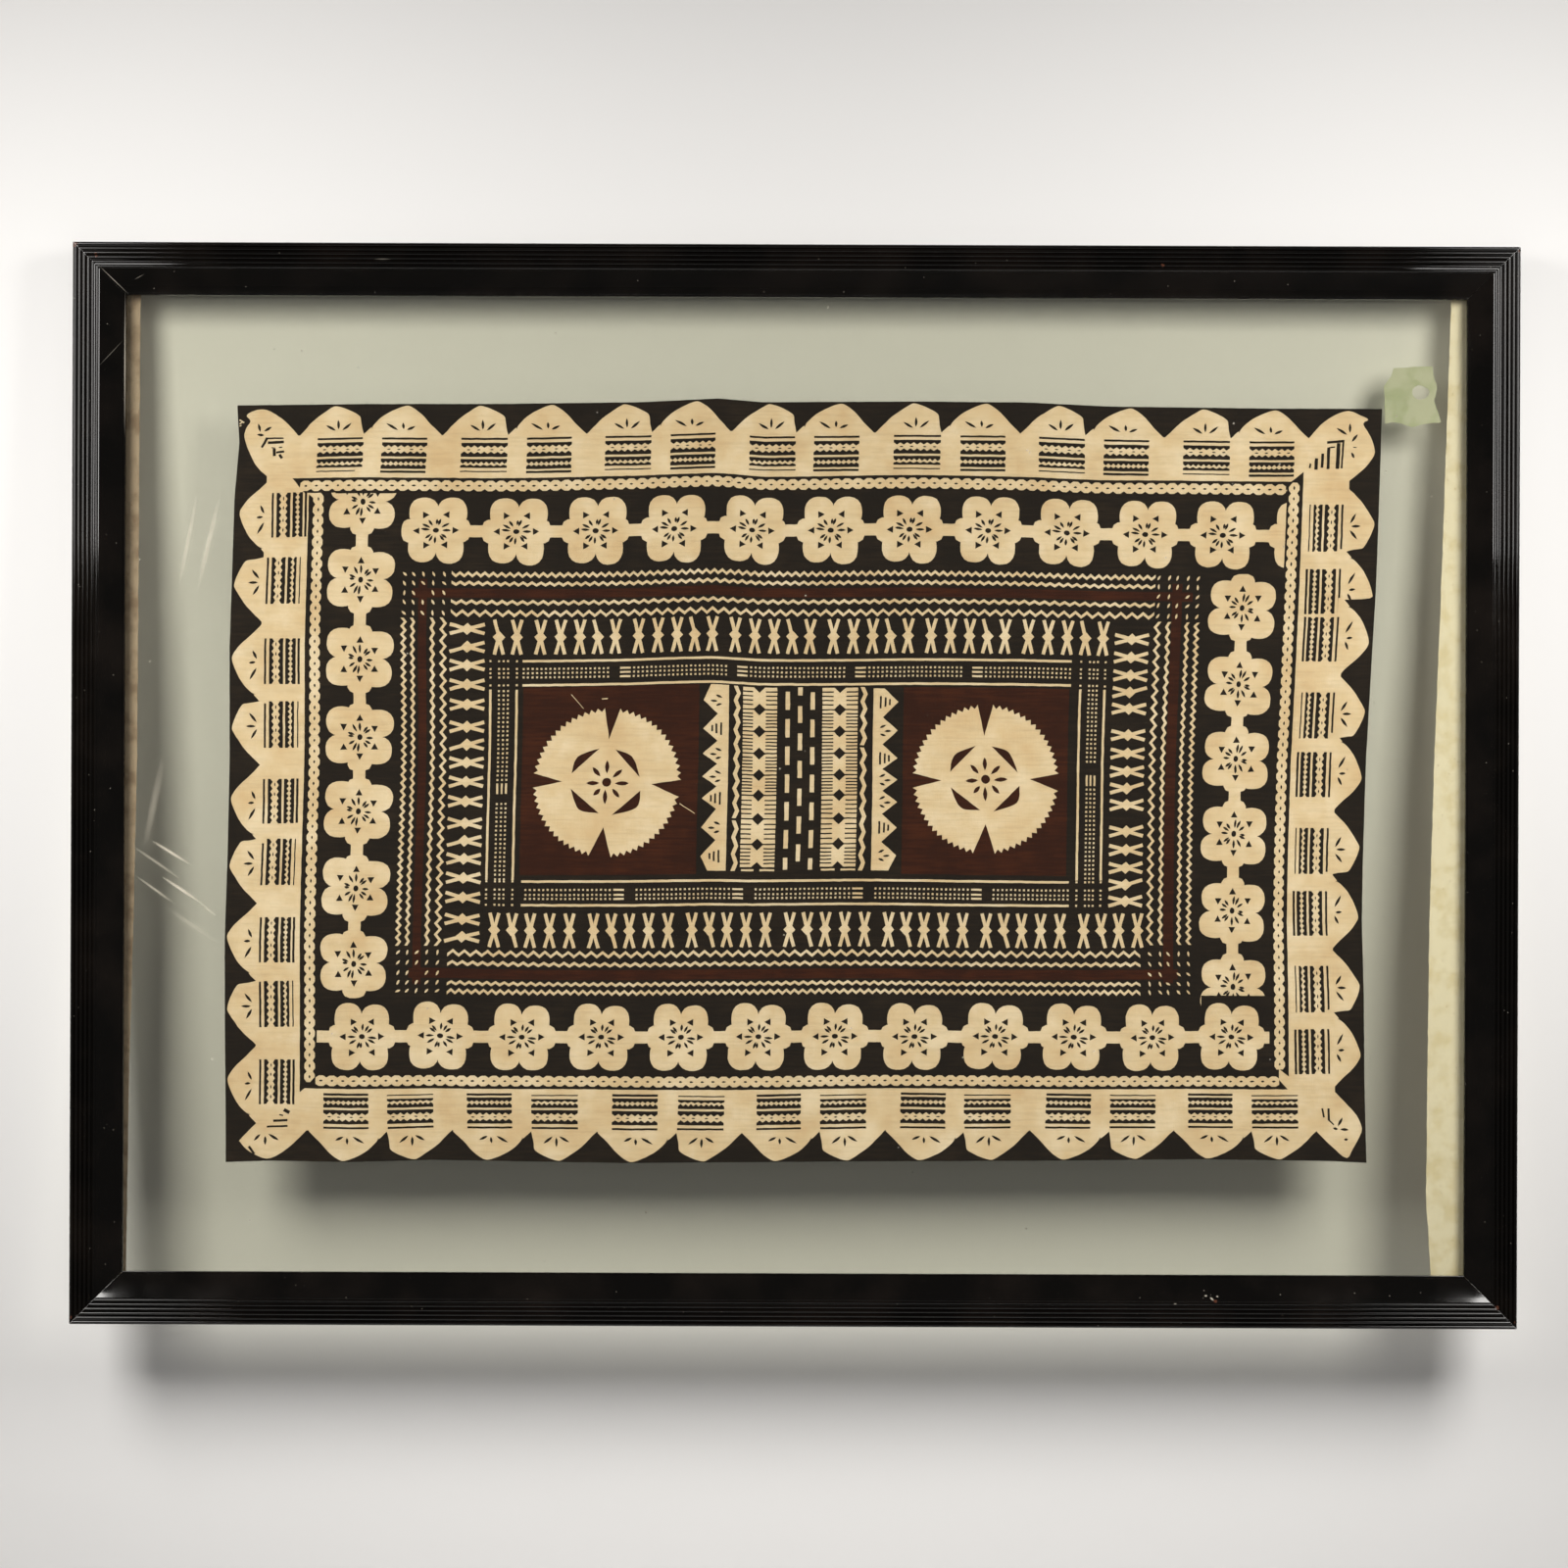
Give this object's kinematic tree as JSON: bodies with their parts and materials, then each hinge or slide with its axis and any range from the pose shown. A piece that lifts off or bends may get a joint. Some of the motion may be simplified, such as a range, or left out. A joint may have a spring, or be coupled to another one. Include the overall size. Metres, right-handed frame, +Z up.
{
  "type": "tapa bark cloth in a glazed wood frame",
  "caption": "Flat hand-stencilled bark cloth held between clear panes in a black reeded wood frame, made to hang on a wall.",
  "frame": {"origin": "middle of the top rail's back face, where a hanging plate is fixed", "axes": "+X to the right of someone facing the front, +Y back towards what holds it, +Z up"},
  "size_m": [1.2, 0.026, 0.897],
  "materials": {
    "bark_cloth": "beaten inner bark, dry and matt, stencilled in black and dark brown",
    "black_lacquer": "black gloss lacquer on wood, worn at the edges",
    "clear_glass": "clear picture glass with a faint green cast",
    "cream_paper": "old cream paper, matt",
    "green_paper": "thin pale green paper, torn"
  },
  "bodies": {
    "root": {"bark_cloth": "bark_cloth", "rail_top": "black_lacquer", "rail_right": "black_lacquer", "rail_bottom": "black_lacquer", "rail_left": "black_lacquer", "front_glass": "clear_glass", "rear_glass": "clear_glass", "paper_strip_left": "cream_paper", "paper_strip_right": "cream_paper", "paper_scrap": "green_paper"}
  },
  "joints": []
}
